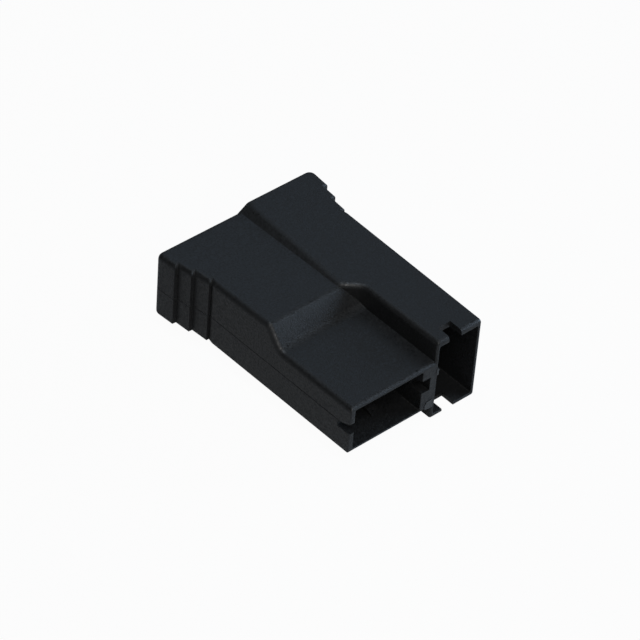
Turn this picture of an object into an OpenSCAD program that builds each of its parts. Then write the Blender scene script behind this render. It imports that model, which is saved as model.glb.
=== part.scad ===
// Two-way housing for flat blade terminals, moulded as one piece.
// A low cell and a tall cell, turned a quarter turn from each other, share one mating face.
// The mating face looks along -Y, the wires leave along +Y and the tall cell's underside is at Z = 0.

/* [Body] */
// Length from the mating face to the rear face
length = 27.3; // [26:0.1:34]
// Angle by which each side widens towards the rear
side_draft = 0.75; // [0:0.05:1.5]

/* [Tall cell] */
// Width of the tall cell at the mating face
tall_width = 5.85; // [5.7:0.05:7]
// Height of the tall cell, from its underside to its top
tall_height = 9.9; // [9.5:0.1:11.5]

/* [Low cell] */
// Width of the low cell at the mating face, up to the tall cell
low_width = 10.92; // [10.4:0.02:12.4]
// Height of the low cell at the mating face
low_height = 5.86; // [5.8:0.02:6.5]
// Height of the low cell's underside above the tall cell's underside
low_lift = 1.53; // [1.2:0.01:1.9]

/* [Rear block] */
// Distance from the mating face to the foot of the ramp
ramp_foot = 10.37; // [9.8:0.01:11.5]
// Length of the ramp between the low top and the rear block's top
ramp_length = 1.83; // [1.4:0.01:2.6]
// Height of the rear block over its underside, at the head of the ramp
rear_height = 8.1; // [7.5:0.05:8.1]
// Fall of the rear block's top from the head of the ramp to the rear face
rear_top_fall = 0.45; // [0:0.05:0.6]

/* [Shoulder] */
// Distance by which the tall side widens over the rear block
shoulder_width = 1.97; // [1.2:0.01:2.2]
// Distance from the mating face to where the tall side starts to widen
shoulder_start = 10.65; // [10.3:0.01:12]
// Length over which the tall side widens
shoulder_length = 1.7; // [0.8:0.1:2.4]
// Distance by which the tall side runs on into the rear block, past the foot of the sloping step
shoulder_lap = 0.6; // [0.3:0.05:1]
// Slope of the step between the rear block's top and the tall side's top
shoulder_slope = 34; // [20:1:60]

/* [Mating cavities] */
// Depth of both mating cavities
cavity_depth = 8.8; // [7:0.1:9.3]
// Wall on the low cell's outer side
wall = 0.65; // [0.5:0.05:0.8]
// Wall over the low cavity
low_roof = 0.48; // [0.4:0.02:0.8]
// Wall over the tall cavity
tall_roof = 0.73; // [0.5:0.01:0.8]
// Wall between the tall cavity and the low side
inner_wall = 0.38; // [0.34:0.02:0.8]
// Wall under both cells, and on the tall cell's outer side
thin_wall = 0.42; // [0.35:0.01:0.6]
// Thickness of the post between the low cavity and the tall cell
post = 1.55; // [1.4:0.01:1.8]

/* [Keyways] */
// Width of the tall cell's keyways, and of the post's keyway at the mating face
key_width = 1.6; // [1:0.1:2.2]
// Width of the keyway in the low cell's outer wall, at the mating face
outer_key_width = 1.25; // [0.9:0.05:2]
// Width of the low cell's keyways at their blind end, which their slanting roof leaves
key_end_width = 0.6; // [0.2:0.05:0.9]
// Length of the keyways, back from the mating face
key_length = 1.7; // [1:0.1:3]
// Depth of the keyway that is sunk into the post
post_key_depth = 1.04; // [0.6:0.02:1.2]
// Distance of the tall cell's keyways from the tall cell's inner face
tall_key_offset = 2.35; // [2:0.05:3]

/* [Detent] */
// Width of the detent nib on the floor of the low cavity
nib_width = 1.1; // [0.6:0.1:1.6]
// Height of the nib
nib_height = 0.4; // [0.2:0.05:0.4]
// Distance from the mating face to the nib
nib_start = 2.1; // [1:0.1:4]
// Distance of the nib from the middle of the low cavity, towards the tall cell
nib_offset = 0.65; // [-2:0.05:2]
// Length of the nib
nib_length = 1.4; // [1:0.1:2]
// Length of the lead-in slope on the nib
nib_slope = 0.85; // [0.4:0.05:0.9]

/* [Terminal seats] */
// Thickness of the seat wall that carries the terminals
seat_thickness = 1.4; // [1:0.1:2]
// Ledge of the seat wall on each side of a terminal's window
seat_ledge = 0.4; // [0.2:0.05:0.45]

/* [Wire entries] */
// Width of the wire entry behind the low cell
low_entry_width = 8; // [7.4:0.1:8.2]
// Height of the wire entry behind the low cell
low_entry_height = 5.8; // [5.4:0.1:6]
// Width of the wire entry behind the tall cell
tall_entry_width = 6; // [5.6:0.1:6.2]
// Height of the wire entry behind the tall cell
tall_entry_height = 8.2; // [7.8:0.1:8.4]
// Wall between a wire entry and the outside
entry_wall = 0.8; // [0.6:0.05:0.9]
// Bevel around the mouths of the wire entries
entry_bevel = 0.5; // [0.2:0.05:0.6]

/* [Finger grips] */
// Number of steps on each side
grip_count = 3; // [1:1:4]
// Distance from the rear face to the crest of the last step
grip_rear = 2.8; // [2:0.1:3.6]
// Distance between the crests of the steps
grip_pitch = 1.85; // [1.5:0.05:2.2]
// Distance by which the first step stands further from the next one
grip_first_gap = 0.2; // [0:0.05:0.6]
// Height of the full steps
grip_step = 0.37; // [0.2:0.01:0.6]
// Height of the first step, seen from the mating face
grip_first_step = 0.16; // [0.1:0.01:0.6]
// Angle that the scooped face of a step reaches at its crest
grip_slope = 60; // [50:1:80]
// Angle by which the stretch behind each step widens
grip_draft = 4.5; // [0:0.5:5]

/* [Hidden] */
// Overlap that keeps cutting shapes clear of the faces that they cut
over = 0.5;
// Number of flats on the scooped face of a grip step
scoop_parts = 3;
// Size of shapes that reach past the whole moulding on every side
beyond = 2 * length;

front = -length / 2;
rear = length / 2;
left = -(low_width + tall_width) / 2;
right = -left;
tall_left = left + low_width;
part_plane = tall_height / 2;

low_bottom = low_lift;
low_top = low_bottom + low_height;
ramp_foot_y = front + ramp_foot;
ramp_head_y = ramp_foot_y + ramp_length;
rear_top = low_bottom + rear_height;
rear_top_back = rear_top - rear_top_fall;
crease = tall_left - shoulder_width;
shoulder_y = front + shoulder_start;
shoulder_end_y = shoulder_y + shoulder_length;
lap_left = crease - shoulder_lap;
lap_end_y = shoulder_end_y + shoulder_lap * shoulder_length / shoulder_width;

cavity_back = front + cavity_depth;
seat_back = cavity_back + seat_thickness;
low_cavity_left = left + wall;
low_cavity_right = tall_left - post;
low_cavity_floor = low_bottom + thin_wall;
low_cavity_top = low_top - low_roof;
tall_cavity_left = tall_left + inner_wall;
tall_cavity_right = right - thin_wall;
tall_cavity_floor = thin_wall;
tall_cavity_top = tall_height - tall_roof;

low_entry_floor = low_bottom + entry_wall;
low_entry_top = low_entry_floor + low_entry_height;
low_entry_right = crease - seat_ledge;
low_entry_left = low_entry_right - low_entry_width;
tall_entry_right = right - entry_wall + seat_ledge;
tall_entry_left = tall_entry_right - tall_entry_width;
tall_entry_floor = part_plane - tall_entry_height / 2;
tall_entry_top = tall_entry_floor + tall_entry_height;

// How far the side lies outside its place at the mating face, at a distance from that face
function draft_at(distance) = distance * tan(side_draft);

// Height of each grip step, counted from the front, and its scooped face's radius and length
function step_height(i) = i == 0 ? grip_first_step : grip_step;
function scoop_radius(i) = step_height(i) / (1 - cos(grip_slope));
function scoop_length(i) = scoop_radius(i) * sin(grip_slope);

// Distance from the mating face to each step's crest and to the foot of its scooped face
function crest_at(i) = length - grip_rear - (grip_count - 1 - i) * grip_pitch - (i == 0 ? grip_first_gap : 0);
function foot_at(i) = crest_at(i) - scoop_length(i);

// How far step i's foot and crest lie outside the drafted side
function foot_out(i) = i == 0 ? 0 : crest_out(i - 1) + (foot_at(i) - crest_at(i - 1)) * tan(grip_draft);
function crest_out(i) = foot_out(i) + step_height(i);
rear_out = crest_out(grip_count - 1) + grip_rear * tan(grip_draft);

// A point of step i's scooped face, where it has turned by an angle
function scoop_point(i, turn) = let (distance = foot_at(i) + scoop_radius(i) * sin(turn))
    [draft_at(distance) + foot_out(i) + scoop_radius(i) * (1 - cos(turn)), distance];

// Plan of one side: [distance outwards, distance from the mating face]
side_plan = concat(
    [[0, 0]],
    [for (i = [0 : grip_count - 1]) for (j = [0 : scoop_parts]) scoop_point(i, grip_slope * j / scoop_parts)],
    [[draft_at(length) + rear_out, length]]
);

// A box between two corners
module block(low, high) {
    translate(low) cube(high - low);
}

// A side view [y, z], drawn out along X from x0 to x1
module across(x0, x1) {
    translate([x0, 0, 0])
        rotate([90, 0, 90])
            linear_extrude(x1 - x0) children();
}

// A flat-sided funnel: a rectangle [x0, z0, x1, z1] at y0 that grows by spread up to y1
module funnel(mouth, y0, y1, spread) {
    near = [[mouth[0], mouth[1]], [mouth[2], mouth[1]], [mouth[2], mouth[3]], [mouth[0], mouth[3]]];
    away = [[-1, -1], [1, -1], [1, 1], [-1, 1]];
    points = concat(
        [for (p = near) [p[0], y0, p[1]]],
        [for (i = [0 : 3]) [near[i][0] + spread * away[i][0], y1, near[i][1] + spread * away[i][1]]]
    );
    polyhedron(points, [[3, 2, 1, 0], [4, 5, 6, 7], [0, 1, 5, 4], [1, 2, 6, 5], [2, 3, 7, 6], [3, 0, 4, 7]]);
}

// Outer body behind the low cell, with its ramp and its raised rear block
module low_side() {
    side_view = [
        [front, low_bottom],
        [rear, low_bottom],
        [rear, rear_top_back],
        [ramp_head_y, rear_top],
        [ramp_foot_y, low_top],
        [front, low_top]
    ];
    plan = concat(
        [for (p = side_plan) [left - p[0], front + p[1]]],
        [[tall_left + inner_wall, rear], [tall_left + inner_wall, front]]
    );
    intersection() {
        linear_extrude(tall_height) polygon(plan);
        across(-beyond / 2, beyond / 2) polygon(side_view);
    }
}

// Outer body of the tall cell, which widens over the rear block and runs on into it
module tall_side() {
    plan = concat(
        [for (p = side_plan) [right + p[0], front + p[1]]],
        [
            [lap_left, rear],
            [lap_left, lap_end_y],
            [tall_left, shoulder_y],
            [tall_left, front]
        ]
    );
    difference() {
        linear_extrude(tall_height) polygon(plan);
        shoulder_cut();
    }
}

// Space over the sloping step that joins the rear block's top to the tall side's top
module shoulder_cut() {
    fall = atan(rear_top_fall / (rear - ramp_head_y));
    translate([crease, ramp_head_y, rear_top])
        rotate([-fall, 0, 0])
            rotate([0, -shoulder_slope, 0])
                translate([-beyond / 2, -beyond / 2, 0])
                    cube(beyond);
}

// Mating cavity, terminal window and wire entry on the low cell's side
module low_passage() {
    window_left = max(low_cavity_left, low_entry_left) + seat_ledge;
    window_right = min(low_cavity_right, low_entry_right) - seat_ledge;
    entry_side_view = [
        [seat_back, low_entry_floor],
        [rear + over, low_entry_floor],
        [rear + over, low_entry_top],
        [ramp_head_y + entry_wall, low_entry_top],
        [seat_back, low_cavity_top]
    ];
    block([low_cavity_left, front - over, low_cavity_floor],
        [low_cavity_right, cavity_back, low_cavity_top]);
    block([window_left, cavity_back - over, low_entry_floor],
        [window_right, seat_back + over, low_cavity_top]);
    across(low_entry_left, low_entry_right) polygon(entry_side_view);
    funnel([low_entry_left, low_entry_floor, low_entry_right, low_entry_top],
        rear - entry_bevel, rear + over, entry_bevel + over);
}

// Mating cavity, terminal window and wire entry on the tall cell's side
module tall_passage() {
    window_left = max(tall_cavity_left, tall_entry_left) + seat_ledge;
    window_right = min(tall_cavity_right, tall_entry_right) - seat_ledge;
    entry_plan = [
        [tall_entry_right, seat_back],
        [tall_entry_right, rear + over],
        [tall_entry_left, rear + over],
        [tall_entry_left, shoulder_end_y + entry_wall],
        [window_left, seat_back]
    ];
    block([tall_cavity_left, front - over, tall_cavity_floor],
        [tall_cavity_right, cavity_back, tall_cavity_top]);
    block([window_left, cavity_back - over, tall_entry_floor + seat_ledge],
        [window_right, seat_back + over, tall_entry_top - seat_ledge]);
    translate([0, 0, tall_entry_floor])
        linear_extrude(tall_entry_height) polygon(entry_plan);
    funnel([tall_entry_left, tall_entry_floor, tall_entry_right, tall_entry_top],
        rear - entry_bevel, rear + over, entry_bevel + over);
}

// Side view of a keyway in the low cell, with its slanting roof
module low_key_view(width) {
    low_key = part_plane - key_width / 2;
    low_key_back = front + key_length;
    polygon([
        [front - over, low_key],
        [low_key_back, low_key],
        [low_key_back, low_key + key_end_width],
        [front, low_key + width],
        [front - over, low_key + width]
    ]);
}

// Keyways in the side walls of the low cell, and in the top and floor of the tall cell
module keyways() {
    tall_key = tall_left + tall_key_offset - key_width / 2;
    across(left - over, low_cavity_left + over) low_key_view(outer_key_width);
    across(low_cavity_right - over, low_cavity_right + post_key_depth) low_key_view(key_width);
    block([tall_key, front - over, -over],
        [tall_key + key_width, front + key_length, tall_height + over]);
}

// Wedge on the low cavity's floor that the mating part snaps over, with its slope towards the front
module nib() {
    middle = (low_cavity_left + low_cavity_right) / 2 + nib_offset;
    nib_front = front + nib_start;
    nib_view = [
        [nib_front, low_cavity_floor - thin_wall / 2],
        [nib_front + nib_length, low_cavity_floor - thin_wall / 2],
        [nib_front + nib_length, low_cavity_floor + nib_height],
        [nib_front + nib_slope, low_cavity_floor + nib_height],
        [nib_front, low_cavity_floor]
    ];
    across(middle - nib_width / 2, middle + nib_width / 2) polygon(nib_view);
}

// The whole moulding
module housing() {
    color([0.13, 0.14, 0.155]) {
        difference() {
            union() {
                low_side();
                tall_side();
            }
            low_passage();
            tall_passage();
            keyways();
        }
        nib();
    }
}

housing();
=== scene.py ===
import math

import bmesh
import bpy
from mathutils import Matrix, Vector


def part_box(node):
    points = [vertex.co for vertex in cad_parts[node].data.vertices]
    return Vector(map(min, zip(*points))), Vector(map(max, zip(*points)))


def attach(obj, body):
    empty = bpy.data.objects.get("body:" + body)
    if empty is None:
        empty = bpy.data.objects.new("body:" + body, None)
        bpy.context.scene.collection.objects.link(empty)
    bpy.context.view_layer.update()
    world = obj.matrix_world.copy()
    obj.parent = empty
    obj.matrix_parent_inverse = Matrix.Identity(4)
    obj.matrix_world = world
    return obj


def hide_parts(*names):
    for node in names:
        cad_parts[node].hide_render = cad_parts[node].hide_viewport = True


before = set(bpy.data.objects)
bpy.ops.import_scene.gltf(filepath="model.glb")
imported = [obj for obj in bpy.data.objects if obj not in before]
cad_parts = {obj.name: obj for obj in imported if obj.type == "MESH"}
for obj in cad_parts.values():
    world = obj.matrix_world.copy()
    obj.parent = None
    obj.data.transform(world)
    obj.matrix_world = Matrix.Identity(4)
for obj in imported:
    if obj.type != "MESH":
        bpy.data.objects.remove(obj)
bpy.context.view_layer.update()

# Outer body of the housing: one moulding of black nylon, shot in a mould that opens up and down.
# A low box with a raised rear block stands beside a tall box, which widens over it. The outer edges are
# rounded in the mould, and the mould halves leave a fine witness line half way up the sides.
MM = 0.001  # lengths are in millimetres, and this turns them into metres
housing_low, housing_high = (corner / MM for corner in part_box("housing"))
front = housing_low.y
rear = housing_high.y
tall_height = housing_high.z

SIDE_DRAFT = math.radians(0.75)
TALL_WIDTH = 5.85
LOW_WIDTH = 10.92
LOW_HEIGHT = 5.86
LOW_LIFT = 1.53
RAMP_FOOT = 10.37
RAMP_LENGTH = 1.83
REAR_HEIGHT = 8.1
REAR_TOP_FALL = 0.45
SHOULDER_WIDTH = 1.97
SHOULDER_START = 10.65
SHOULDER_LENGTH = 1.7
SHOULDER_SLOPE = math.radians(34)
SHOULDER_LAP = 0.6
GRIP_COUNT = 3
GRIP_REAR = 2.8
GRIP_PITCH = 1.85
GRIP_FIRST_GAP = 0.2
GRIP_STEP = 0.43
GRIP_FIRST_STEP = 0.16
GRIP_DRAFT = math.radians(3.4)
GRIP_SLOPE = math.radians(85)
GRIP_DIP = 0.14
GRIP_DIP_LENGTH = 0.6
BODY_OVERLAP = 0.3
NEAR = 0.01
TOP_FACING = 0.6
SLOPE_FACING = 0.4
END_FACING = 0.97
END_REACH = 0.1
WITNESS_WIDTH = 0.1
WITNESS_DEPTH = 0.04

REAR_CORNER_ROUND = 0.8
RAMP_HEAD_ROUND = 0.32
RAMP_FOOT_ROUND = 0.6
SHOULDER_FILLET = 0.5
ROUND_SEGMENTS = 6
# Radii between faces. Those at the rear and along the side are alike, so that they meet at the corner.
LOW_ROUNDS = {
    ("left", "top"): 0.6,
    ("left", "under"): 0.35,
    ("front", "left"): 0.14,
    ("front", "top"): 0.45,
    ("front", "under"): 0.4,
    ("rear", "top"): 0.6,
    ("rear", "under"): 0.35,
}
TALL_ROUNDS = {
    ("left", "top"): 0.55,
    ("slope", "top"): 0.35,
    ("left", "slope"): 0.3,
    ("right", "top"): 0.38,
    ("right", "under"): 0.35,
    ("front", "right"): 0.25,
    ("front", "left"): 0.25,
    ("front", "top"): 0.45,
    ("front", "under"): 0.2,
    ("rear", "top"): 0.38,
    ("rear", "slope"): 0.38,
    ("rear", "under"): 0.35,
    ("left", "under"): 0.12,
}

left = -(LOW_WIDTH + TALL_WIDTH) / 2
right = -left
tall_left = left + LOW_WIDTH
part_plane = tall_height / 2
low_top = LOW_LIFT + LOW_HEIGHT
ramp_foot = Vector((0, front + RAMP_FOOT, low_top))
ramp_head = Vector((0, ramp_foot.y + RAMP_LENGTH, LOW_LIFT + REAR_HEIGHT))
crease = tall_left - SHOULDER_WIDTH
shoulder = front + SHOULDER_START
shoulder_end = shoulder + SHOULDER_LENGTH


def drafted(y):
    """How far the mould's draft has moved a side outwards."""
    return (y - front) * math.tan(SIDE_DRAFT)


# Plan of one side as pairs: place along Y, distance outwards. It dips a little before the first grip step.
side_plan = [(front, 0.0)]
stand = -GRIP_DIP
for i in range(GRIP_COUNT):
    rise = GRIP_STEP
    crest = rear - GRIP_REAR - (GRIP_COUNT - 1 - i) * GRIP_PITCH
    if i == 0:
        rise = GRIP_FIRST_STEP + GRIP_DIP
        crest -= GRIP_FIRST_GAP
    foot = crest - rise / math.tan(GRIP_SLOPE)
    if i == 0:
        dip_start = foot - GRIP_DIP_LENGTH
        side_plan.append((dip_start, drafted(dip_start)))
    else:
        stand += (foot - last_crest) * math.tan(GRIP_DRAFT)
    side_plan.append((foot, drafted(foot) + stand))
    stand += rise
    side_plan.append((crest, drafted(crest) + stand))
    last_crest = crest
side_plan.append((rear, drafted(rear) + stand + GRIP_REAR * math.tan(GRIP_DRAFT)))
side_turns = [y for y, out in side_plan[1:-1]]


def side_out(y):
    """Distance of the side from its place at the mating face."""
    for (y0, out0), (y1, out1) in zip(side_plan, side_plan[1:]):
        if y <= y1:
            return out0 + (out1 - out0) * (y - y0) / (y1 - y0)
    return side_plan[-1][1]


def drawn_out(corners, reach):
    """A flat outline of corners, drawn out along a vector."""
    shape = bmesh.new()
    face = shape.faces.new([shape.verts.new(corner) for corner in corners])
    drawn = bmesh.ops.extrude_face_region(shape, geom=[face])["geom"]
    bmesh.ops.translate(shape, verts=[v for v in drawn if isinstance(v, bmesh.types.BMVert)], vec=reach)
    bmesh.ops.recalc_face_normals(shape, faces=shape.faces)
    return shape


def across(x0, x1, side_view):
    """A side view of points (y, z), drawn out along X."""
    return drawn_out([(x0, y, z) for y, z in side_view], (x1 - x0, 0, 0))


def split(shape, point, normal, clear=False):
    """Cuts new edges where a plane crosses a shape, and takes off what lies above it if told to."""
    everything = shape.verts[:] + shape.edges[:] + shape.faces[:]
    cut = bmesh.ops.bisect_plane(shape, geom=everything, plane_co=point, plane_no=normal, clear_outer=clear)
    if clear:
        border = [e for e in cut["geom_cut"] if isinstance(e, bmesh.types.BMEdge)]
        bmesh.ops.contextual_create(shape, geom=border)
    shape.normal_update()


def facing(face):
    """Name of the way that a face of the outer body looks."""
    x, y, z = face.normal
    middle = face.calc_center_median()
    if z > TOP_FACING:
        return "slope" if x < -SLOPE_FACING else "top"
    if z < -TOP_FACING:
        return "under"
    if abs(y) > END_FACING and min(middle.y - front, rear - middle.y) < END_REACH:
        return "rear" if y > 0 else "front"
    return "left" if x < 0 else "right"


def between(edge):
    """The ways that the two faces of an edge look, in alphabetical order."""
    return tuple(sorted(facing(face) for face in edge.link_faces))


def bevelled(shape, edges, offset):
    """Rounds some edges of a shape."""
    bmesh.ops.bevel(
        shape, geom=edges, offset=offset, offset_type="OFFSET", affect="EDGES", segments=ROUND_SEGMENTS,
        profile=0.5, material=-1, clamp_overlap=False,
    )
    shape.normal_update()


def witness_line(shape):
    """Presses the fine groove of the mould's parting plane into the sides and the rear."""
    for height in (-WITNESS_WIDTH / 2, 0, WITNESS_WIDTH / 2):
        split(shape, (0, 0, part_plane + height), (0, 0, 1))
    for vert in shape.verts:
        if abs(vert.co.z - part_plane) < NEAR:
            outward = [f.normal for f in vert.link_faces if facing(f) in ("left", "right", "rear")]
            vert.co -= sum(outward, Vector()).normalized() * WITNESS_DEPTH


def working_object(name, shape):
    """An object of a shape, which is used up."""
    mesh = bpy.data.meshes.new(name)
    shape.to_mesh(mesh)
    shape.free()
    thing = bpy.data.objects.new(name, mesh)
    bpy.context.scene.collection.objects.link(thing)
    return thing


def finished(thing):
    """The mesh that an object's modifiers leave, in a bmesh. The object is used up."""
    shape = bmesh.new()
    shape.from_object(thing, bpy.context.evaluated_depsgraph_get())
    bpy.data.meshes.remove(thing.data)
    return shape


def rounded(name, shape, rounds):
    """A working object of a shape whose edges are rounded as their two faces ask."""
    widest = max(rounds.values())
    weight = shape.edges.layers.float.new("bevel_weight_edge")
    for edge in shape.edges:
        edge[weight] = rounds.get(between(edge), 0) / widest
    thing = working_object(name, shape)
    bevel = thing.modifiers.new("rounding", "BEVEL")
    bevel.limit_method = "WEIGHT"
    bevel.width = widest
    bevel.segments = ROUND_SEGMENTS
    bevel.profile = 0.5
    bevel.use_clamp_overlap = False
    bevel.loop_slide = False
    return working_object(name, finished(thing))


low_side_view = [
    (front, LOW_LIFT),
    (rear, LOW_LIFT),
    (rear, ramp_head.z - REAR_TOP_FALL),
    (ramp_head.y, ramp_head.z),
    (ramp_foot.y, ramp_foot.z),
    (front, low_top),
]
low_shape = across(left, tall_left + BODY_OVERLAP, low_side_view)
for point, offset in ((ramp_head, RAMP_HEAD_ROUND), (ramp_foot, RAMP_FOOT_ROUND)):
    ridge = [e for e in low_shape.edges if all((v.co - point).yz.length < NEAR for v in e.verts)]
    bevelled(low_shape, ridge, offset)
for y in side_turns:
    split(low_shape, (0, y, 0), (0, 1, 0))
for vert in low_shape.verts:
    if abs(vert.co.x - left) < NEAR:
        vert.co.x -= side_out(vert.co.y)
low_shape.normal_update()
bevelled(low_shape, [e for e in low_shape.edges if between(e) == ("left", "rear")], REAR_CORNER_ROUND)
witness_line(low_shape)
low_body = rounded("low_body", low_shape, LOW_ROUNDS)

tall_side_view = [(front, 0), (rear, 0), (rear, tall_height), (front, tall_height)]
tall_shape = across(tall_left, right, tall_side_view)
lap_end = shoulder_end + SHOULDER_LAP * SHOULDER_LENGTH / SHOULDER_WIDTH
for y in side_turns + [shoulder, lap_end]:
    split(tall_shape, (0, y, 0), (0, 1, 0))
for vert in tall_shape.verts:
    if abs(vert.co.x - right) < NEAR:
        vert.co.x += side_out(vert.co.y)
    elif vert.co.y > shoulder + NEAR:
        vert.co.x = crease - SHOULDER_LAP
    else:
        vert.co.x -= drafted(vert.co.y)
tall_shape.normal_update()
jog_foot = Vector((tall_left - drafted(shoulder), shoulder, 0))
# The level cuts at the jog come out again, so that the arc of its fillet ends on whole faces.
level_cuts = [
    e for e in tall_shape.edges
    if all(abs(v.co.y - shoulder) < NEAR for v in e.verts) and abs(e.verts[0].co.z - e.verts[1].co.z) < NEAR
]
bmesh.ops.dissolve_edges(tall_shape, edges=level_cuts)
jog_edge = [e for e in tall_shape.edges if all((v.co - jog_foot).xy.length < NEAR for v in e.verts)]
bevelled(tall_shape, jog_edge, SHOULDER_FILLET)
fall = math.atan(REAR_TOP_FALL / (rear - ramp_head.y))
slope_normal = Vector((
    -math.sin(SHOULDER_SLOPE),
    math.cos(SHOULDER_SLOPE) * math.sin(fall),
    math.cos(SHOULDER_SLOPE) * math.cos(fall),
))
split(tall_shape, ramp_head + Vector((crease, 0, 0)), slope_normal, clear=True)
bevelled(tall_shape, [e for e in tall_shape.edges if between(e) == ("rear", "right")], REAR_CORNER_ROUND)
witness_line(tall_shape)
tall_body = rounded("tall_body", tall_shape, TALL_ROUNDS)

# Hollows of the housing: for each cell a mating cavity with keyways, a terminal window and a wire entry.
# The mould's cores leave them in the nylon, with rounded corners and rims, and a nib on the low floor.
# The mould also leaves a torn gate scar and a little flash on the mating face.
CAVITY_DEPTH = 8.8
WALL = 0.65
INNER_WALL = 0.38
LOW_ROOF = 0.48
TALL_ROOF = 0.73
THIN_WALL = 0.42
POST = 1.55
KEY_WIDTH = 1.6
OUTER_KEY_WIDTH = 1.25
KEY_END_WIDTH = 0.6
KEY_LENGTH = 1.7
POST_KEY_DEPTH = 1.04
TALL_KEY_OFFSET = 2.35
NIB_WIDTH = 1.1
NIB_HEIGHT = 0.4
NIB_START = 2.1
NIB_OFFSET = 0.65
NIB_LENGTH = 1.4
NIB_SLOPE = 0.85
GATE_SCAR = ((1.62, 1.66), (2.6, 1.62), (2.72, 2.25), (2.45, 2.68), (1.78, 2.6), (1.57, 2.2))
FLASH = ((2.75, 5.6), (3.05, 5.7), (2.98, 6.05), (3.12, 6.3), (2.8, 6.5))
MARK_PROUD = 0.05
MARK_ROOT = 0.2
SEAT_THICKNESS = 1.4
SEAT_LEDGE = 0.4
LOW_ENTRY_WIDTH = 8.0
LOW_ENTRY_HEIGHT = 5.8
TALL_ENTRY_WIDTH = 6.0
TALL_ENTRY_HEIGHT = 8.2
ENTRY_WALL = 0.8
ENTRY_BEVEL = 0.5
HOLLOW_CORNER_ROUND = 0.15
RIM_ROUND = 0.1
RIM_SEGMENTS = 3
OVER = 0.5
WELD = 0.0001
SHARP_ANGLE = math.radians(28)

cavity_back = front + CAVITY_DEPTH
seat_back = cavity_back + SEAT_THICKNESS
low_cavity_left = left + WALL
low_cavity_right = tall_left - POST
low_cavity_floor = LOW_LIFT + THIN_WALL
low_cavity_top = low_top - LOW_ROOF
tall_cavity_left = tall_left + INNER_WALL
tall_cavity_right = right - THIN_WALL
tall_cavity_floor = THIN_WALL
tall_cavity_top = tall_height - TALL_ROOF
low_entry_floor = LOW_LIFT + ENTRY_WALL
low_entry_top = low_entry_floor + LOW_ENTRY_HEIGHT
low_entry_right = crease - SEAT_LEDGE
low_entry_left = low_entry_right - LOW_ENTRY_WIDTH
tall_entry_right = right - ENTRY_WALL + SEAT_LEDGE
tall_entry_left = tall_entry_right - TALL_ENTRY_WIDTH
tall_entry_floor = part_plane - TALL_ENTRY_HEIGHT / 2
tall_entry_top = tall_entry_floor + TALL_ENTRY_HEIGHT


def pocket(x0, z0, x1, z1, stations):
    """A core with rounded corners, through stations: pairs of a place along Y and the sides' spread there."""
    y, spread = stations[0]
    shape = bmesh.new()
    end = shape.faces.new([shape.verts.new((x, y, z)) for x, z in ((x0, z0), (x1, z0), (x1, z1), (x0, z1))])
    bmesh.ops.bevel(
        shape, geom=end.verts[:], offset=HOLLOW_CORNER_ROUND, offset_type="OFFSET", affect="VERTICES",
        segments=RIM_SEGMENTS, profile=0.5, material=-1,
    )
    middle = Matrix.Translation((-(x0 + x1) / 2, 0, -(z0 + z1) / 2))
    width = x1 - x0
    height = z1 - z0
    end = shape.faces[:][0]
    for next_y, next_spread in stations[1:]:
        end = bmesh.ops.extrude_discrete_faces(shape, faces=[end])["faces"][0]
        wider = (width + 2 * next_spread) / (width + 2 * spread)
        higher = (height + 2 * next_spread) / (height + 2 * spread)
        bmesh.ops.translate(shape, verts=end.verts, vec=(0, next_y - y, 0))
        bmesh.ops.scale(shape, verts=end.verts, vec=(wider, 1, higher), space=middle)
        y, spread = next_y, next_spread
    bmesh.ops.holes_fill(shape, edges=shape.edges)
    bmesh.ops.recalc_face_normals(shape, faces=shape.faces)
    return shape


rim_turns = [math.radians(90) * i / RIM_SEGMENTS for i in range(RIM_SEGMENTS + 1)]
rim = [(front + RIM_ROUND * (1 - math.sin(turn)), RIM_ROUND * (1 - math.cos(turn))) for turn in rim_turns]
mouth = [(cavity_back, 0)] + rim + [(front - OVER, RIM_ROUND)]
funnel = [(rear - ENTRY_BEVEL, 0), (rear + OVER, ENTRY_BEVEL + OVER)]
window = [(cavity_back - OVER, 0), (seat_back + OVER, 0)]


def low_key_view(width):
    """Side view of a keyway in the low cell, with its slanting roof."""
    low_key = part_plane - KEY_WIDTH / 2
    return [
        (front - OVER, low_key),
        (front + KEY_LENGTH, low_key),
        (front + KEY_LENGTH, low_key + KEY_END_WIDTH),
        (front, low_key + width),
        (front - OVER, low_key + width),
    ]


low_entry_view = [
    (seat_back, low_entry_floor),
    (rear - ENTRY_BEVEL / 2, low_entry_floor),
    (rear - ENTRY_BEVEL / 2, low_entry_top),
    (ramp_head.y + ENTRY_WALL, low_entry_top),
    (seat_back, low_cavity_top),
]
tall_window_left = max(tall_cavity_left, tall_entry_left) + SEAT_LEDGE
tall_window_right = min(tall_cavity_right, tall_entry_right) - SEAT_LEDGE
tall_entry_plan = [
    (tall_entry_right, seat_back),
    (tall_entry_right, rear - ENTRY_BEVEL / 2),
    (tall_entry_left, rear - ENTRY_BEVEL / 2),
    (tall_entry_left, shoulder_end + ENTRY_WALL),
    (tall_window_left, seat_back),
]
tall_key = tall_left + TALL_KEY_OFFSET - KEY_WIDTH / 2
low_window_left = max(low_cavity_left, low_entry_left) + SEAT_LEDGE
low_window_right = min(low_cavity_right, low_entry_right) - SEAT_LEDGE
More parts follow.
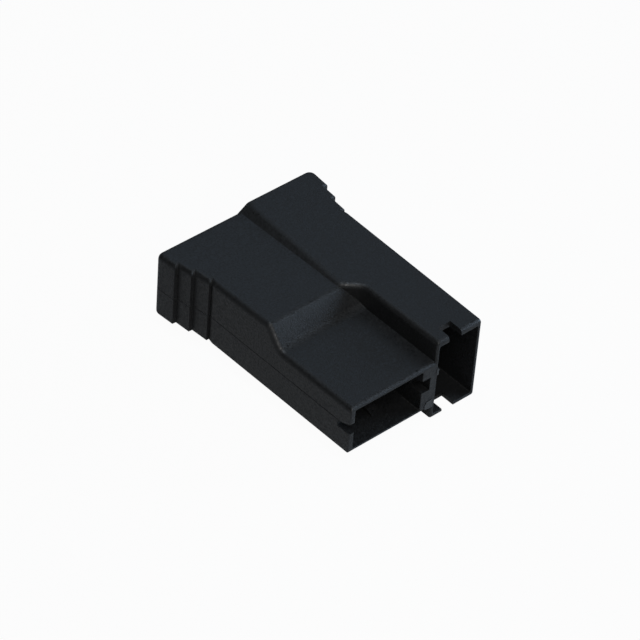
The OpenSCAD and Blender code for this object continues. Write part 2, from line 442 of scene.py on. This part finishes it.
hollows = {
    "low_cavity": pocket(low_cavity_left, low_cavity_floor, low_cavity_right, low_cavity_top, mouth),
    "tall_cavity": pocket(tall_cavity_left, tall_cavity_floor, tall_cavity_right, tall_cavity_top, mouth),
    "low_window": pocket(
        low_window_left, low_entry_floor, low_window_right, low_cavity_top - NEAR, window
    ),
    "tall_window": pocket(
        tall_window_left, tall_entry_floor + SEAT_LEDGE,
        tall_window_right, tall_entry_top - SEAT_LEDGE, window,
    ),
    "low_entry": across(low_entry_left, low_entry_right, low_entry_view),
    "tall_entry": drawn_out(
        [(x, y, tall_entry_floor) for x, y in tall_entry_plan], (0, 0, TALL_ENTRY_HEIGHT)
    ),
    "low_funnel": pocket(low_entry_left, low_entry_floor, low_entry_right, low_entry_top, funnel),
    "tall_funnel": pocket(tall_entry_left, tall_entry_floor, tall_entry_right, tall_entry_top, funnel),
    "outer_keyway": across(left - OVER, low_cavity_left + OVER, low_key_view(OUTER_KEY_WIDTH)),
    "post_keyway": across(
        low_cavity_right - OVER, low_cavity_right + POST_KEY_DEPTH, low_key_view(KEY_WIDTH)
    ),
    "tall_keyway": drawn_out(
        [(tall_key, front - OVER, -OVER), (tall_key + KEY_WIDTH, front - OVER, -OVER),
         (tall_key + KEY_WIDTH, front + KEY_LENGTH, -OVER), (tall_key, front + KEY_LENGTH, -OVER)],
        (0, 0, tall_height + 2 * OVER),
    ),
}
nib_middle = (low_cavity_left + low_cavity_right) / 2 + NIB_OFFSET
nib_front = front + NIB_START
nib_view = [
    (nib_front, low_cavity_floor - THIN_WALL / 2),
    (nib_front + NIB_LENGTH, low_cavity_floor - THIN_WALL / 2),
    (nib_front + NIB_LENGTH, low_cavity_floor + NIB_HEIGHT),
    (nib_front + NIB_SLOPE, low_cavity_floor + NIB_HEIGHT),
    (nib_front, low_cavity_floor),
]


def combine(body, operation, others):
    """Joins other working objects to a body or cuts them out of it. All of them are used up."""
    for other in others:
        modifier = body.modifiers.new(other.name, "BOOLEAN")
        modifier.operation = operation
        modifier.solver = "EXACT"
        modifier.object = other
    shape = finished(body)
    for other in others:
        bpy.data.meshes.remove(other.data)
    return shape


block = working_object("block", combine(low_body, "UNION", [tall_body]))
cores = [working_object(name, shape) for name, shape in hollows.items()]
hollowed = working_object("hollowed", combine(block, "DIFFERENCE", cores))
nib = working_object("nib", across(nib_middle - NIB_WIDTH / 2, nib_middle + NIB_WIDTH / 2, nib_view))
mark_reach = (0, MARK_PROUD + MARK_ROOT, 0)
marks = []
for name, outline in (("gate_scar", GATE_SCAR), ("flash", FLASH)):
    plate = drawn_out([(x, front - MARK_PROUD, z) for x, z in outline], mark_reach)
    marks.append(working_object(name, plate))
moulding = combine(hollowed, "UNION", [nib] + marks)
bmesh.ops.remove_doubles(moulding, verts=moulding.verts, dist=WELD)
housing_mesh = bpy.data.meshes.new("housing_moulding")
bmesh.ops.scale(moulding, verts=moulding.verts, vec=(MM, MM, MM))
moulding.to_mesh(housing_mesh)
moulding.free()
housing_mesh.shade_smooth()
housing_mesh.set_sharp_from_angle(angle=SHARP_ANGLE)
housing = bpy.data.objects.new("housing_moulding", housing_mesh)
bpy.context.scene.collection.objects.link(housing)
even = housing.modifiers.new("even_shading", "WEIGHTED_NORMAL")
even.keep_sharp = True

# Finish of the housing: nylon coloured black all through, as it leaves the mould. The etched mould gives it
# a fine matt grain with faint clouds. The torn gate scar and the flash are grey.
NYLON_DARK = (0.0102, 0.0105, 0.0108, 1)
NYLON_LIGHT = (0.0122, 0.0125, 0.0128, 1)
TORN = (0.042, 0.043, 0.044, 1)
NYLON_ROUGHNESS = 0.48
GRAIN_SCALE = 4800.0
GRAIN_DETAIL = 2.0
GRAIN_ROUGHNESS = 0.85
GRAIN_HEIGHT = 0.035
GRAIN_STRENGTH = 0.5
CLOUD_SCALE = 500.0
CLOUD_DETAIL = 3.0
CLOUD_ROUGHNESS = 0.06
NOISE_MIDDLE = 0.5
# Places of a colour Mix node's sockets, whose names are not unique.
MIX_FACTOR = 0
MIX_FROM = 6
MIX_TO = 7
MIX_RESULT = 2


class Signal:
    """An output socket of a shader node. Arithmetic on it adds Math nodes to its tree."""

    def __init__(self, tree, socket=None):
        self.tree = tree
        self.socket = socket

    def node(self, kind, settings=None, inputs=None, output=0):
        """Adds a node of a kind, makes its settings, then gives its sockets their values or links."""
        made = self.tree.nodes.new(kind)
        for name, value in (settings or {}).items():
            setattr(made, name, value)
        for name, value in (inputs or {}).items():
            if isinstance(value, Signal):
                self.tree.links.new(value.socket, made.inputs[name])
            else:
                made.inputs[name].default_value = value
        return Signal(self.tree, made.outputs[output] if made.outputs else None)

    def __add__(self, other):
        return self.node("ShaderNodeMath", {"operation": "ADD"}, {0: self, 1: other})

    def __sub__(self, other):
        return self.node("ShaderNodeMath", {"operation": "SUBTRACT"}, {0: self, 1: other})

    def __rsub__(self, other):
        return self.node("ShaderNodeMath", {"operation": "SUBTRACT"}, {0: other, 1: self})

    def __mul__(self, other):
        return self.node("ShaderNodeMath", {"operation": "MULTIPLY"}, {0: self, 1: other})

    def __lt__(self, other):
        return self.node("ShaderNodeMath", {"operation": "LESS_THAN"}, {0: self, 1: other})

    def __gt__(self, other):
        return self.node("ShaderNodeMath", {"operation": "GREATER_THAN"}, {0: self, 1: other})

    __radd__ = __add__
    __rmul__ = __mul__


def new_tree(block):
    """Empties the node tree of a material or world, and gives a Signal to build on."""
    block.use_nodes = True
    block.node_tree.nodes.clear()
    return Signal(block.node_tree)


nylon = bpy.data.materials.new("black_nylon")
tree = new_tree(nylon)
place = tree.node("ShaderNodeTexCoord", output="Object")
grain = tree.node("ShaderNodeTexNoise", {}, {"Vector": place, "Scale": GRAIN_SCALE, "Detail": GRAIN_DETAIL})
clouds = tree.node("ShaderNodeTexNoise", {}, {"Vector": place, "Scale": CLOUD_SCALE, "Detail": CLOUD_DETAIL})
along = tree.node("ShaderNodeSeparateXYZ", {}, {"Vector": place}, output="Y")
torn = along < (front - MARK_PROUD / 2) * MM
moulded = tree.node(
    "ShaderNodeMix", {"data_type": "RGBA"},
    {MIX_FACTOR: clouds, MIX_FROM: NYLON_DARK, MIX_TO: NYLON_LIGHT}, output=MIX_RESULT,
)
colour = tree.node(
    "ShaderNodeMix", {"data_type": "RGBA"},
    {MIX_FACTOR: torn, MIX_FROM: moulded, MIX_TO: TORN}, output=MIX_RESULT,
)
grain_roughness = (grain - NOISE_MIDDLE) * GRAIN_ROUGHNESS
cloud_roughness = (clouds - NOISE_MIDDLE) * CLOUD_ROUGHNESS
roughness = NYLON_ROUGHNESS + grain_roughness + cloud_roughness
bump = tree.node(
    "ShaderNodeBump", {}, {"Strength": GRAIN_STRENGTH, "Distance": GRAIN_HEIGHT * MM, "Height": grain}
)
shader = tree.node(
    "ShaderNodeBsdfPrincipled", {}, {"Base Color": colour, "Roughness": roughness, "Normal": bump}
)
tree.node("ShaderNodeOutputMaterial", {}, {"Surface": shader})
housing_mesh.materials.append(nylon)
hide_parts("housing")
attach(housing, "root")

# The camera stands in front of the mating face and to its left, and looks down on the housing.
# A long lens keeps the edges almost parallel, and the picture is turned a little to the side.
AZIMUTH = math.radians(-44.31)
ELEVATION = math.radians(41.64)
ROLL = math.radians(4.65)
DISTANCE = 350.5
AIM = Vector((-0.371, -0.214, 4.947))
LENS = 200.46
SENSOR = 36.0

level = Vector((math.cos(AZIMUTH), math.sin(AZIMUTH), 0))
level_back = Vector((math.sin(AZIMUTH), -math.cos(AZIMUTH), 0))
back = level_back * math.cos(ELEVATION) + Vector((0, 0, math.sin(ELEVATION)))
image_right = level * math.cos(ROLL) + back.cross(level) * math.sin(ROLL)
image_up = back.cross(image_right)
camera = bpy.data.objects.new("camera", bpy.data.cameras.new("camera"))
camera.data.lens = LENS
camera.data.sensor_width = SENSOR
turned = Matrix((image_right, image_up, back)).transposed().to_4x4()
camera.matrix_world = Matrix.Translation((AIM + back * DISTANCE) * MM) @ turned
bpy.context.scene.collection.objects.link(camera)
bpy.context.scene.camera = camera
bpy.context.scene.view_settings.view_transform = "Standard"

# The floor is a sheet of white paper, far larger than the picture, just under the housing.
# To the camera it is almost pure white, and it keeps a trace of the housing's shadow.
FLOOR_RADIUS = 2000.0
FLOOR_SEGMENTS = 64
FLOOR_GAP = 0.02
PAPER = (0.62, 0.62, 0.62, 1)
PAPER_GLOW = 0.96
WHITE = (1, 1, 1, 1)

floor_shape = bmesh.new()
bmesh.ops.create_circle(floor_shape, cap_ends=True, segments=FLOOR_SEGMENTS, radius=FLOOR_RADIUS * MM)
bmesh.ops.translate(floor_shape, verts=floor_shape.verts, vec=(0, 0, -FLOOR_GAP * MM))
floor_mesh = bpy.data.meshes.new("floor")
floor_shape.to_mesh(floor_mesh)
floor_shape.free()
floor = bpy.data.objects.new("floor", floor_mesh)
bpy.context.scene.collection.objects.link(floor)
paper = bpy.data.materials.new("white_paper")
tree = new_tree(paper)
seen = tree.node("ShaderNodeLightPath", output="Is Camera Ray")
matt = tree.node("ShaderNodeBsdfDiffuse", {}, {"Color": PAPER})
bright = tree.node("ShaderNodeEmission", {}, {"Color": WHITE, "Strength": 1.0})
surface = tree.node("ShaderNodeMixShader", {}, {0: seen * PAPER_GLOW, 1: matt, 2: bright})
tree.node("ShaderNodeOutputMaterial", {}, {"Surface": surface})
floor_mesh.materials.append(paper)

# The room behind the paper is white to the camera.
# To the housing it is dim, so that the lamps alone shape it.
ROOM_LIGHT = 0.03

world = bpy.data.worlds.new("studio")
bpy.context.scene.world = world
tree = new_tree(world)
seen = tree.node("ShaderNodeLightPath", output="Is Camera Ray")
glow = seen * (1 - ROOM_LIGHT) + ROOM_LIGHT
air = tree.node("ShaderNodeBackground", {}, {"Color": WHITE, "Strength": glow})
tree.node("ShaderNodeOutputWorld", {}, {"Surface": air})

# The lamps are four round softboxes and a small spot overhead, which draws the glints on the edges.
# Each softbox is given by its azimuth and elevation in degrees, its power in watts and its colour.
SOFTBOX_DISTANCE = 600.0
SOFTBOX_SIZE = 420.0
SPOT_DISTANCE = 400.0
SPOT_POWER = 1.45
SPOT_POOL = 45.0
SPOT_BLEND = 1.0
SPOT_SIZE = 30.0
SPOT_WAY = Vector((-0.08, 0.06, 0.995))
DAYLIGHT = (0.62, 0.79, 1.0)
COOL = (0.76, 0.88, 1.0)
NEUTRAL = (1.0, 1.0, 1.0)
SOFTBOXES = {
    "rear_softbox": (57, 44, 0.222, DAYLIGHT),
    "front_softbox": (246, 48, 1.4, NEUTRAL),
    "low_right_softbox": (342, 12, 3.2, DAYLIGHT),
    "front_right_softbox": (303, 5, 0.3, DAYLIGHT),
}


def hang(name, lamp_data, way, distance):
    """Puts a lamp at a distance from the housing, in a direction from it, and turns it to the housing."""
    lamp = bpy.data.objects.new(name, lamp_data)
    lamp_turn = way.to_track_quat("Z", "Y").to_matrix().to_4x4()
    lamp.matrix_world = Matrix.Translation(way * distance * MM) @ lamp_turn
    bpy.context.scene.collection.objects.link(lamp)


for name, (azimuth, elevation, power, colour) in SOFTBOXES.items():
    softbox = bpy.data.lights.new(name, "AREA")
    softbox.shape = "DISK"
    softbox.size = SOFTBOX_SIZE * MM
    softbox.energy = power
    softbox.color = colour
    level_out = math.cos(math.radians(elevation))
    softbox_way = Vector((
        math.cos(math.radians(azimuth)) * level_out,
        math.sin(math.radians(azimuth)) * level_out,
        math.sin(math.radians(elevation)),
    ))
    hang(name, softbox, softbox_way, SOFTBOX_DISTANCE)

spot = bpy.data.lights.new("overhead_spot", "SPOT")
spot.energy = SPOT_POWER
spot.spot_size = 2 * math.atan(SPOT_POOL / SPOT_DISTANCE)
spot.spot_blend = SPOT_BLEND
spot.color = COOL
spot.shadow_soft_size = SPOT_SIZE * MM
hang("overhead_spot", spot, SPOT_WAY, SPOT_DISTANCE)
